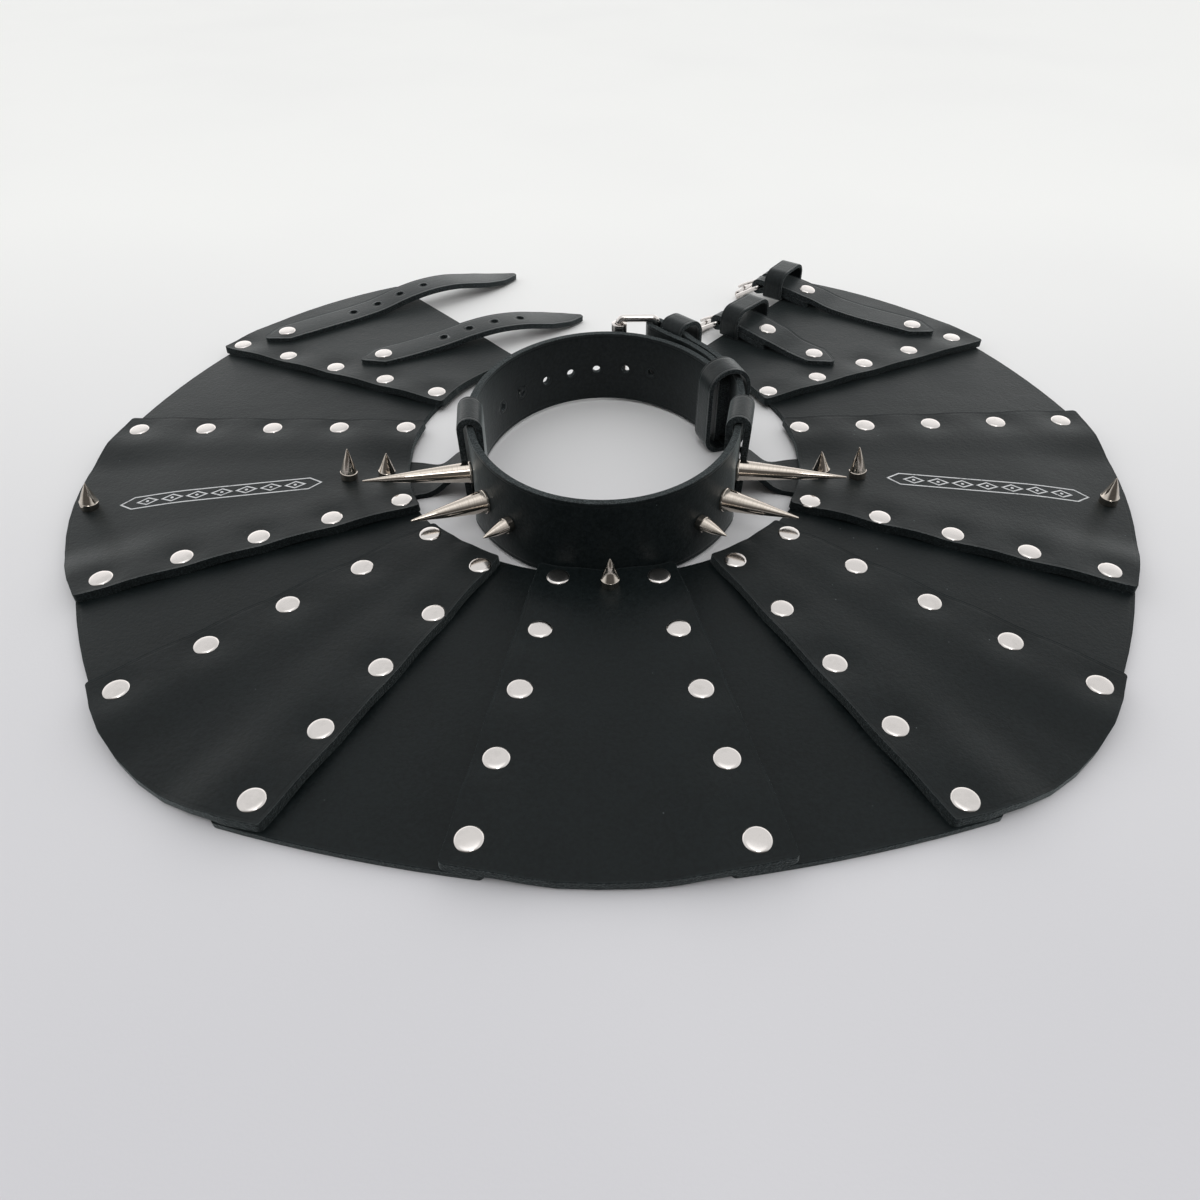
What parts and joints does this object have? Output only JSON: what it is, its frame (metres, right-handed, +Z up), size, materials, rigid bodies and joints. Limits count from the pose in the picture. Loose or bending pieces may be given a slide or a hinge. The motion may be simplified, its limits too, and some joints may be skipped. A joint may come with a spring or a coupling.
{
  "type": "leather gorget",
  "caption": "Black leather collar and shoulder mantle of overlapping riveted plates, with cone spikes and buckled straps, laid flat.",
  "frame": {"origin": "centre of the laid-out gorget's footprint, on the surface that it lies on", "axes": "+X to the right as seen from the front plate, +Y towards the open back, +Z up"},
  "size_m": [0.5006, 0.4543, 0.045],
  "materials": {
    "leather": "smooth black satin leather with raw cut edges",
    "nickel": "polished nickel plate"
  },
  "bodies": {
    "gorget": {"front_plate": "leather", "chest_plate_right": "leather", "shoulder_plate_right": "leather", "back_plate_right": "leather", "front_under_right": "leather", "side_under_right": "leather", "rear_under_right": "leather", "chest_plate_left": "leather", "shoulder_plate_left": "leather", "back_plate_left": "leather", "front_under_left": "leather", "side_under_left": "leather", "rear_under_left": "leather", "spike_front": "nickel", "spike_inner_left": "nickel", "spike_inner_right": "nickel", "spike_middle_left": "nickel", "spike_middle_right": "nickel", "spike_edge_left": "nickel", "spike_edge_right": "nickel", "collar_band": "leather", "collar_keeper_inner": "leather", "collar_keeper_outer": "leather", "link_loop_left": "leather", "link_loop_right": "leather", "collar_spike_long_left": "nickel", "collar_spike_long_right": "nickel", "collar_spike_medium_left": "nickel", "collar_spike_medium_right": "nickel", "collar_spike_short_left": "nickel", "collar_spike_short_right": "nickel", "tongue_strap_outer": "leather", "tongue_strap_inner": "leather", "buckle_strap_outer": "leather", "buckle_strap_inner": "leather", "strap_keeper_outer": "leather", "strap_keeper_inner": "leather"},
    "collar_buckle": {"collar_buckle_frame": "nickel"},
    "collar_prong": {"collar_buckle_prong": "nickel"},
    "collar_roller": {"collar_buckle_roller": "nickel"},
    "closure_buckle_outer": {"strap_buckle_outer": "nickel"},
    "closure_roller_outer": {"strap_roller_outer": "nickel"},
    "closure_prong_outer": {"strap_prong_outer": "nickel"},
    "closure_buckle_inner": {"strap_buckle_inner": "nickel"},
    "closure_roller_inner": {"strap_roller_inner": "nickel"},
    "closure_prong_inner": {"strap_prong_inner": "nickel"}
  },
  "joints": [
    {"name": "collar_buckle_swing", "type": "hinge", "parent": "gorget", "child": "collar_buckle", "pos_m": [0.02799, 0.07287, 0.0226], "axis": [0, 0, -1], "range_deg": [-5, 70]},
    {"name": "collar_prong_swing", "type": "hinge", "parent": "collar_buckle", "child": "collar_prong", "pos_m": [0.02799, 0.07287, 0.0226], "axis": [0, 0, -1], "range_deg": [0, 50]},
    {"name": "collar_roller_spin", "type": "hinge", "parent": "collar_buckle", "child": "collar_roller", "pos_m": [0.00849, 0.07287, 0.0226], "axis": [0, 0, 1], "continuous": true},
    {"name": "closure_buckle_outer_swing", "type": "hinge", "parent": "gorget", "child": "closure_buckle_outer", "pos_m": [0.10558, 0.19156, 0.0116], "axis": [0.5948, 0.8039, 0], "range_deg": [0, 40]},
    {"name": "closure_prong_outer_swing", "type": "hinge", "parent": "closure_buckle_outer", "child": "closure_prong_outer", "pos_m": [0.10558, 0.19156, 0.0116], "axis": [0.5948, 0.8039, 0], "range_deg": [0, 80]},
    {"name": "closure_roller_outer_spin", "type": "hinge", "parent": "closure_buckle_outer", "child": "closure_roller_outer", "pos_m": [0.09441, 0.19983, 0.0027], "axis": [0.5948, 0.8039, 0], "continuous": true},
    {"name": "closure_buckle_inner_swing", "type": "hinge", "parent": "gorget", "child": "closure_buckle_inner", "pos_m": [0.07479, 0.14003, 0.0116], "axis": [0.682, 0.7314, 0], "range_deg": [0, 40]},
    {"name": "closure_prong_inner_swing", "type": "hinge", "parent": "closure_buckle_inner", "child": "closure_prong_inner", "pos_m": [0.07479, 0.14003, 0.0116], "axis": [0.682, 0.7314, 0], "range_deg": [0, 80]},
    {"name": "closure_roller_inner_spin", "type": "hinge", "parent": "closure_buckle_inner", "child": "closure_roller_inner", "pos_m": [0.06463, 0.1495, 0.0027], "axis": [0.682, 0.7314, 0], "continuous": true}
  ]
}
